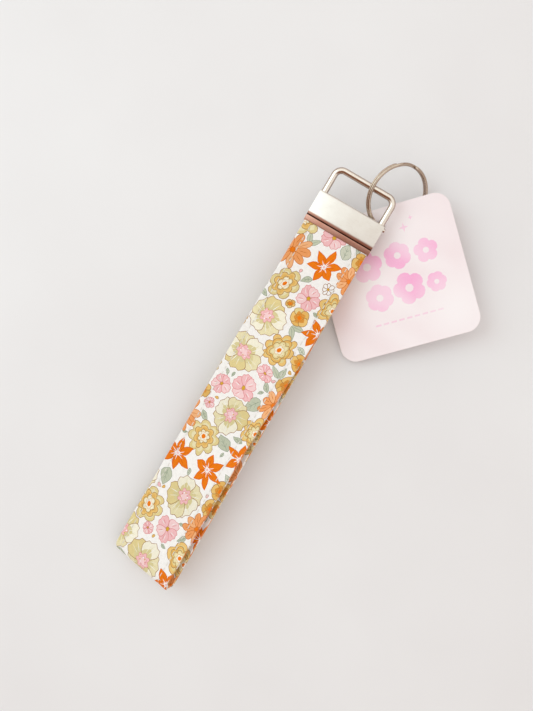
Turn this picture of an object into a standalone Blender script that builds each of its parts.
"""Wristlet keychain: a printed cotton strap folded into a loop and crimped in a metal end clamp, with a
swinging wire loop, a split ring and a card hang tag.

Frame: the origin is the centre of the clamp's flat top plate. +X runs along the strap towards the wire loop,
+Y across it and +Z up. All lengths are in metres. The strap's fold rests on a table TABLE_DROP below the
origin, and the hardware is propped up on the leaning split ring.
"""

import math

import bmesh
import bpy
from mathutils import Euler, Matrix, Vector

# Clamp: one sheet folded round the pivot rod, with a pressed crease and lip on each side
CLAMP_WIDTH = 0.033
SHEET = 0.0007
INNER_HALF_HEIGHT = 0.00195
OUTER_HALF_HEIGHT = INNER_HALF_HEIGHT + SHEET
PLATE_LENGTH = 0.00995
BEND_RADIUS = 0.0011
BEND_STEPS = 6
LIP_LENGTH = 0.0041
CREASE_TO_LIP = 0.0015
CREASE_SLOPE = 0.0003
CREASE_HALF_HEIGHT = 0.00198
SHOULDER_HALF_HEIGHT = 0.00212
LIP_HALF_HEIGHT = 0.00232
LIP_ROUND = 0.0003
LIP_END_HALF_HEIGHT = 0.0019
MOUTH_HALF_HEIGHT = 0.0016
THROAT_LENGTH = 0.001
MOUTH_X = -PLATE_LENGTH / 2 - LIP_LENGTH
FRONT_X = PLATE_LENGTH / 2 + BEND_RADIUS
SLOT_WIDTH = 0.0039
SLOT_HALF_ANGLE = math.radians(19.5)
SLOT_CLEARANCE = 0.0002

# Wire loop: a bent wire whose legs end in elbows on the pivot rod
WIRE_RADIUS = 0.0015
LEG_Y = 0.0146
BAR_REACH = 0.0139
CORNER_RADIUS = 0.0035
LOOP_LIFT = math.radians(7.0)
ELBOW_RADIUS = 0.00145
LEG_START = 0.0004
ROD_RADIUS = 0.0009
ROD_CLEARANCE = 0.00015
ROD_LOW_Y = -0.0175
ROD_HIGH_Y = 0.0164
AXIS_X = FRONT_X - SHEET - ROD_CLEARANCE - ROD_RADIUS
AXIS_Z = -OUTER_HALF_HEIGHT

# Split ring
RING_RADIUS = 0.01515
RING_WIRE_WIDTH = 0.0014
RING_COIL_HEIGHT = 0.0009
RING_COIL_GAP = 0.00014
RING_WIRE_BEVEL = 0.00024
RING_CENTRE = Vector((0.0212, -0.0147, -0.00655))
RING_LEAN = math.radians(37.4)
RING_PITCH = math.radians(9.0)
RING_SEAM_ANGLE = math.radians(45)
RING_JOG = math.radians(34)
RING_END_GAP = math.radians(3)
RING_STEPS_PER_TURN = 52

# Hang tag
TAG_SIZE = 0.0645
TAG_THICKNESS = 0.0005
TAG_CORNER = 0.007
TAG_HOLE_RADIUS = 0.0025
TAG_HOLE_TO_EDGE = 0.0078
TAG_HOLE_ASIDE = -0.0007
TAG_YAW = math.radians(-44.4)
TAG_RISE = math.radians(8)
TAG_RING_ANGLE = math.radians(186)

# Strap: two layers that leave the clamp flat, then puff, roll and end in a fold
TABLE_DROP = 0.01715
STRAP_WIDTH = 0.03175
CRIMPED_THICKNESS = 0.0013
STRAP_THICKNESS = 0.002
CRIMPED_OFFSET = 0.00075
OPEN_OFFSET = 0.0035
PUFF_TO_FULL_PLY = 8
STRAP_START_X = 0.0005
FOLD_X = -0.1768
ROLL = math.radians(22)
FOLD_SKEW = 0.085
OPEN_BY_X = -0.085
ROLL_BY_X = -0.125
DROP_BY_X = -0.145
FOLD_HALF_HEIGHT = STRAP_WIDTH / 2 * math.sin(ROLL) + (OPEN_OFFSET + STRAP_THICKNESS / 2) * math.cos(ROLL)
FOLD_CENTRE_Z = FOLD_HALF_HEIGHT - TABLE_DROP
COVER_WALL = 0.00037
CORE_GAP = 0.00012
STRAP_STATIONS = 34
FOLD_STATIONS = 9
THREAD_SIZE = 0.0005
THREAD_GAP = 0.0002
STITCH_LEFT_Y = 0.0124
STITCH_RIGHT_Y = -0.0112


def clear_scene():
    for obj in list(bpy.data.objects):
        bpy.data.objects.remove(obj, do_unlink=True)


def material(name, colour, roughness, metallic):
    made = bpy.data.materials.new(name)
    made.use_nodes = True
    shader = made.node_tree.nodes["Principled BSDF"]
    shader.inputs["Base Color"].default_value = (*colour, 1.0)
    shader.inputs["Roughness"].default_value = roughness
    shader.inputs["Metallic"].default_value = metallic
    return made


def add_object(name, bm, surface, origin=Vector((0, 0, 0)), smooth=True):
    """Turns a bmesh in world coordinates into an object whose origin is the given point."""
    bmesh.ops.recalc_face_normals(bm, faces=bm.faces)
    bmesh.ops.translate(bm, verts=bm.verts, vec=-origin)
    mesh = bpy.data.meshes.new(name)
    bm.to_mesh(mesh)
    bm.free()
    if smooth:
        mesh.shade_smooth()
        mesh.set_sharp_from_angle(angle=math.radians(35))
    obj = bpy.data.objects.new(name, mesh)
    obj.location = origin
    if surface:
        mesh.materials.append(surface)
    bpy.context.scene.collection.objects.link(obj)
    return obj


def helper(obj):
    """Marks a cutter or a piece that a Boolean joins to another, so that it isn't a part itself."""
    obj.hide_render = True
    obj.display_type = "WIRE"
    return obj


def add_boolean(obj, other, operation):
    modifier = obj.modifiers.new(operation.title(), "BOOLEAN")
    modifier.operation = operation
    modifier.solver = "EXACT"
    modifier.object = other


def loft(rings, capped=True):
    """A bmesh skin through equal-length rings of points."""
    bm = bmesh.new()
    rows = [[bm.verts.new(point) for point in ring] for ring in rings]
    for first, second in zip(rows, rows[1:]):
        for i in range(len(first)):
            j = (i + 1) % len(first)
            bm.faces.new((first[i], first[j], second[j], second[i]))
    if capped:
        bm.faces.new(list(reversed(rows[0])))
        bm.faces.new(rows[-1])
    return bm


def smooth_step(value):
    value = min(max(value, 0.0), 1.0)
    return value * value * (3 - 2 * value)


def arc_points(centre_x, centre_y, radius, start, end, steps):
    """Points on an arc in a plane, angles in radians, both ends included."""
    turned = [start + (end - start) * i / steps for i in range(steps + 1)]
    return [(centre_x + radius * math.cos(a), centre_y + radius * math.sin(a)) for a in turned]


# ---- clamp ----


def clamp_profile():
    """The folded sheet's closed outline in (x, z), both measured from the pivot axis."""
    front = FRONT_X - AXIS_X
    plate_end = -PLATE_LENGTH / 2 - AXIS_X
    mouth = MOUTH_X - AXIS_X
    crease = plate_end - CREASE_TO_LIP
    outer_lip = [
        (plate_end, OUTER_HALF_HEIGHT),
        (crease + CREASE_SLOPE, SHOULDER_HALF_HEIGHT),
        (crease, CREASE_HALF_HEIGHT),
        (crease - CREASE_SLOPE, LIP_HALF_HEIGHT),
        (mouth + LIP_ROUND, SHOULDER_HALF_HEIGHT),
        (mouth, LIP_END_HALF_HEIGHT),
    ]
    inner_lip = [
        (mouth, MOUTH_HALF_HEIGHT),
        (crease, MOUTH_HALF_HEIGHT),
        (crease + THROAT_LENGTH, INNER_HALF_HEIGHT),
    ]
    bend_x = front - BEND_RADIUS
    bend_z = OUTER_HALF_HEIGHT - BEND_RADIUS
    outer_bend = arc_points(bend_x, bend_z, BEND_RADIUS, math.pi / 2, 0, BEND_STEPS)
    inner_bend = arc_points(bend_x, bend_z, BEND_RADIUS - SHEET, math.pi / 2, 0, BEND_STEPS)
    outer_half = list(reversed(outer_lip)) + outer_bend
    inner_half = inner_lip + inner_bend
    outer = outer_half + [(x, -z) for x, z in reversed(outer_half)]
    inner = [(x, -z) for x, z in inner_half] + list(reversed(inner_half))
    return outer + inner


def extrude_along_y(profile, low_y, high_y):
    """A solid with the given (x, z) outline about the pivot axis."""
    bm = bmesh.new()
    face = bm.faces.new([bm.verts.new((AXIS_X + x, low_y, AXIS_Z + z)) for x, z in profile])
    made = bmesh.ops.extrude_face_region(bm, geom=[face])
    moved = [item for item in made["geom"] if isinstance(item, bmesh.types.BMVert)]
    bmesh.ops.translate(bm, verts=moved, vec=(0, high_y - low_y, 0))
    return bm


def slot_profile():
    """The wedge that a leg of the wire loop sweeps as it swings, in (x, z) from the pivot axis."""
    half = WIRE_RADIUS + SLOT_CLEARANCE
    reach = 2 * OUTER_HALF_HEIGHT
    back_x = -half * math.sin(SLOT_HALF_ANGLE)
    back_z = half * math.cos(SLOT_HALF_ANGLE)
    far_x = back_x + reach * math.cos(SLOT_HALF_ANGLE)
    far_z = back_z + reach * math.sin(SLOT_HALF_ANGLE)
    return [(back_x, -back_z), (far_x, -far_z), (far_x, far_z), (back_x, back_z)]


def add_clamp(surface):
    half = CLAMP_WIDTH / 2
    clamp = add_object("clamp_shell", extrude_along_y(clamp_profile(), -half, half), surface)
    for name, side in (("slot_cutter_right", -1), ("slot_cutter_left", 1)):
        low, high = sorted((side * (half - SLOT_WIDTH), side * (half + SHEET)))
        cutter = add_object(name, extrude_along_y(slot_profile(), low, high), None, smooth=False)
        add_boolean(clamp, helper(cutter), "DIFFERENCE")
    return clamp


# ---- wire loop ----


def tube(path, radius, sides):
    """A round wire along a path that lies in one plane across the z axis, with flat ends."""
    rings = []
    for i, point in enumerate(path):
        before = path[max(i - 1, 0)]
        after = path[min(i + 1, len(path) - 1)]
        along = (after - before).normalized()
        across = Vector((-along.y, along.x, 0))
        turned = [2 * math.pi * k / sides for k in range(sides)]
        rings.append([point + radius * (math.cos(a) * across + math.sin(a) * Vector((0, 0, 1))) for a in turned])
    return loft(rings)


def bail_path():
    """Up one leg, along the top bar and down the other, about the pivot axis."""
    centre_x = BAR_REACH - CORNER_RADIUS
    centre_y = LEG_Y - CORNER_RADIUS
    right = arc_points(centre_x, -centre_y, CORNER_RADIUS, -math.pi / 2, 0, 6)
    left = arc_points(centre_x, centre_y, CORNER_RADIUS, 0, math.pi / 2, 6)
    return [Vector((x, y, 0)) for x, y in [(LEG_START, -LEG_Y), *right, *left, (LEG_START, LEG_Y)]]


def along_axis(low_y, high_y):
    return [Vector((0, low_y, 0)), Vector((0, high_y, 0))]


def add_swing_loop(surface):
    """A bail whose legs end in elbows on the pivot rod; one end of the rod pokes out past the clamp."""
    pivot = Vector((AXIS_X, 0, AXIS_Z))
    place = Matrix.Translation(pivot) @ Matrix.Rotation(-LOOP_LIFT, 4, "Y")
    pieces = []
    for name, path, radius, sides in (
        ("swing_loop", bail_path(), WIRE_RADIUS, 16),
        ("elbow_right", along_axis(-LEG_Y - ELBOW_RADIUS, ELBOW_RADIUS - LEG_Y), ELBOW_RADIUS, 14),
        ("elbow_left", along_axis(LEG_Y - ELBOW_RADIUS, LEG_Y + ELBOW_RADIUS), ELBOW_RADIUS, 14),
        ("pivot_rod", along_axis(ROD_LOW_Y, ROD_HIGH_Y), ROD_RADIUS, 12),
    ):
        bm = tube(path, radius, sides)
        bmesh.ops.transform(bm, matrix=place, verts=bm.verts)
        pieces.append(add_object(name, bm, surface if name == "swing_loop" else None, pivot))
    loop, *others = pieces
    for other in others:
        add_boolean(loop, helper(other), "UNION")
    return loop


# ---- split ring ----


def ring_matrix():
    lean = Matrix.Rotation(RING_LEAN, 4, "X")
    pitch = Matrix.Rotation(-RING_PITCH, 4, "Y")
    return Matrix.Translation(RING_CENTRE) @ lean @ pitch


def coil_height(turned):
    """Height of the wire after an angle from its start: flat coils, with the change of level in one jog."""
    level = RING_COIL_HEIGHT + RING_COIL_GAP
    into_jog = turned - (2 * math.pi - RING_JOG)
    return -level / 2 + level * smooth_step(into_jog / RING_JOG)


def add_split_ring(surface):
    """Two turns of flat wire, the upper coil ending where the lower one begins."""
    start = RING_SEAM_ANGLE
    total = 4 * math.pi - RING_JOG - RING_END_GAP
    steps = int(RING_STEPS_PER_TURN * total / (2 * math.pi))
    half_w = RING_WIRE_WIDTH / 2
    half_h = RING_COIL_HEIGHT / 2
    cut = RING_WIRE_BEVEL
    outline = [(half_w, cut - half_h), (half_w, half_h - cut), (half_w - cut, half_h), (cut - half_w, half_h)]
    outline += [(-half_w, half_h - cut), (-half_w, cut - half_h), (cut - half_w, -half_h), (half_w - cut, -half_h)]
    rings = []
    for i in range(steps + 1):
        turned = total * i / steps
        angle = start + turned
        height = coil_height(turned)
        rings.append(
            [Vector(((RING_RADIUS + r) * math.cos(angle), (RING_RADIUS + r) * math.sin(angle), height + h))
             for r, h in outline]
        )
    bm = loft(rings)
    bmesh.ops.transform(bm, matrix=ring_matrix(), verts=bm.verts)
    bar = Vector((AXIS_X + BAR_REACH * math.cos(LOOP_LIFT), 0, AXIS_Z + BAR_REACH * math.sin(LOOP_LIFT)))
    return add_object("split_ring", bm, surface, bar)


# ---- hang tag ----


def tag_outline():
    """Rounded square in the tag's own plane, centred on it."""
    inner = TAG_SIZE / 2 - TAG_CORNER
    points = []
    for quarter, (sx, sy) in enumerate(((1, 1), (-1, 1), (-1, -1), (1, -1))):
        start = quarter * math.pi / 2
        points += arc_points(sx * inner, sy * inner, TAG_CORNER, start, start + math.pi / 2, 6)
    return points


def add_hang_tag(surface):
    hole_y = TAG_SIZE / 2 - TAG_HOLE_TO_EDGE
    turn = Euler((0, -TAG_RISE, TAG_YAW), "XYZ").to_matrix().to_4x4()
    hole = ring_matrix() @ Vector((RING_RADIUS * math.cos(TAG_RING_ANGLE), RING_RADIUS * math.sin(TAG_RING_ANGLE), 0))
    place = Matrix.Translation(hole) @ turn @ Matrix.Translation((-TAG_HOLE_ASIDE, -hole_y, 0))
    half = TAG_THICKNESS / 2
    outline = tag_outline()
    card = loft([[Vector((x, y, z)) for x, y in outline] for z in (-half, half)])
    bmesh.ops.transform(card, matrix=place, verts=card.verts)
    tag = add_object("hang_tag", card, surface, hole)
    circle = arc_points(TAG_HOLE_ASIDE, hole_y, TAG_HOLE_RADIUS, 0, 2 * math.pi, 24)[:-1]
    punch = loft([[Vector((x, y, z)) for x, y in circle] for z in (-4 * half, 4 * half)])
    bmesh.ops.transform(punch, matrix=place, verts=punch.verts)
    add_boolean(tag, helper(add_object("tag_punch", punch, None, hole, smooth=False)), "DIFFERENCE")
    return tag


# ---- strap ----


def strap_state(x):
    """Roll, centre height, layer offset and layer thickness where the strap passes x."""
    roll = ROLL * smooth_step((MOUTH_X - x) / (MOUTH_X - ROLL_BY_X))
    drop = smooth_step((MOUTH_X - x) / (MOUTH_X - DROP_BY_X))
    puff = smooth_step((MOUTH_X - x) / (MOUTH_X - OPEN_BY_X))
    centre_z = AXIS_Z + (FOLD_CENTRE_Z - AXIS_Z) * drop
    offset = CRIMPED_OFFSET + (OPEN_OFFSET - CRIMPED_OFFSET) * puff
    thickness = CRIMPED_THICKNESS + (STRAP_THICKNESS - CRIMPED_THICKNESS) * min(1.0, puff * PUFF_TO_FULL_PLY)
    return roll, centre_z, offset, thickness


def strap_stations():
    """(x, angle round the fold) from the clamp along the top layer, round the fold and back below."""
    run = [STRAP_START_X + (FOLD_X - STRAP_START_X) * i / STRAP_STATIONS for i in range(STRAP_STATIONS + 1)]
    top = [(x, 0.0) for x in run]
    fold = [(FOLD_X, math.pi * i / FOLD_STATIONS) for i in range(1, FOLD_STATIONS)]
    bottom = [(x, math.pi) for x in reversed(run)]
    return top + fold + bottom


def strap_point(x, turn, across, outward):
    """A point on a layer: across is measured over the strap's width, outward from the layer's middle."""
    roll, centre_z, offset, _ = strap_state(x)
    skew = FOLD_SKEW * smooth_step((MOUTH_X - x) / (MOUTH_X - FOLD_X))
    width_way = Vector((0, math.cos(roll), -math.sin(roll)))
    up = Vector((0, math.sin(roll), math.cos(roll)))
    normal = math.cos(turn) * up + math.sin(turn) * Vector((-1, 0, 0))
    base = Vector((x + skew * across, 0, centre_z))
    return base + across * width_way + (offset + outward) * normal


def strap_loft(outline_at):
    """Rings of points for an outline [(across, outward)] that may change with the layer's thickness."""
    rings = []
    for x, turn in strap_stations():
        thickness = strap_state(x)[3]
        rings.append([strap_point(x, turn, across, outward) for across, outward in outline_at(thickness)])
    return rings


def strap_section(thickness, inset):
    """A flat layer's outline with trimmed corners, inset from the outer surface of the cover."""
    half_w = STRAP_WIDTH / 2 - inset
    half_t = thickness / 2 - inset
    cut = 0.3 * half_t
    corners = [(half_w, cut - half_t), (half_w, half_t - cut), (half_w - cut, half_t), (cut - half_w, half_t)]
    return corners + [(-across, -outward) for across, outward in corners]


def add_strap_cover(surface):
    """The folded cotton as a flat sleeve, open at both ends inside the clamp."""
    outer = strap_loft(lambda thickness: strap_section(thickness, 0))
    inner = strap_loft(lambda thickness: strap_section(thickness, COVER_WALL))
    bm = loft(outer, capped=False)
    bm.verts.ensure_lookup_table()
    count = len(bm.verts)
    lining = loft(inner, capped=False)
    mesh = bpy.data.meshes.new("lining")
    lining.to_mesh(mesh)
    lining.free()
    bm.from_mesh(mesh)
    bpy.data.meshes.remove(mesh)
    bm.verts.ensure_lookup_table()
    size = len(outer[0])
    for first in (0, count - size):
        for i in range(size):
            j = (i + 1) % size
            ends = (first + i, first + j, count + first + j, count + first + i)
            bm.faces.new([bm.verts[k] for k in ends])
    return add_object("strap_cover", bm, surface)


def add_strap_core(surface):
    inset = COVER_WALL + CORE_GAP
    return add_object("strap_core", loft(strap_loft(lambda thickness: strap_section(thickness, inset))), surface)


def add_topstitch(name, middle, surface):
    """One row of thread on the outside of the loop, from the clamp's mouth round the fold and back."""
    rings = []
    for x, turn in strap_stations():
        if x > MOUTH_X - THREAD_SIZE:
            continue
        low = strap_state(x)[3] / 2 + THREAD_GAP
        half = THREAD_SIZE / 2
        outline = [(middle - half, low), (middle + half, low)]
        outline += [(middle + half, low + THREAD_SIZE), (middle - half, low + THREAD_SIZE)]
        rings.append([strap_point(x, turn, across, outward) for across, outward in outline])
    return add_object(name, loft(rings), surface)


def main():
    clear_scene()
    nickel = material("nickel", (0.76, 0.72, 0.66), 0.28, 1.0)
    wire = material("polished_nickel", (0.80, 0.76, 0.72), 0.12, 1.0)
    steel = material("ring_steel", (0.74, 0.70, 0.66), 0.16, 1.0)
    cotton = material("printed_cotton", (0.86, 0.79, 0.62), 0.85, 0.0)
    interfacing = material("interfacing", (0.85, 0.84, 0.81), 0.9, 0.0)
    thread = material("white_thread", (0.93, 0.92, 0.89), 0.7, 0.0)
    card = material("pink_card", (0.92, 0.80, 0.82), 0.55, 0.0)
    add_clamp(nickel)
    add_swing_loop(wire)
    add_split_ring(steel)
    add_hang_tag(card)
    add_strap_cover(cotton)
    add_strap_core(interfacing)
    add_topstitch("topstitch_left", STITCH_LEFT_Y, thread)
    add_topstitch("topstitch_right", STITCH_RIGHT_Y, thread)


main()
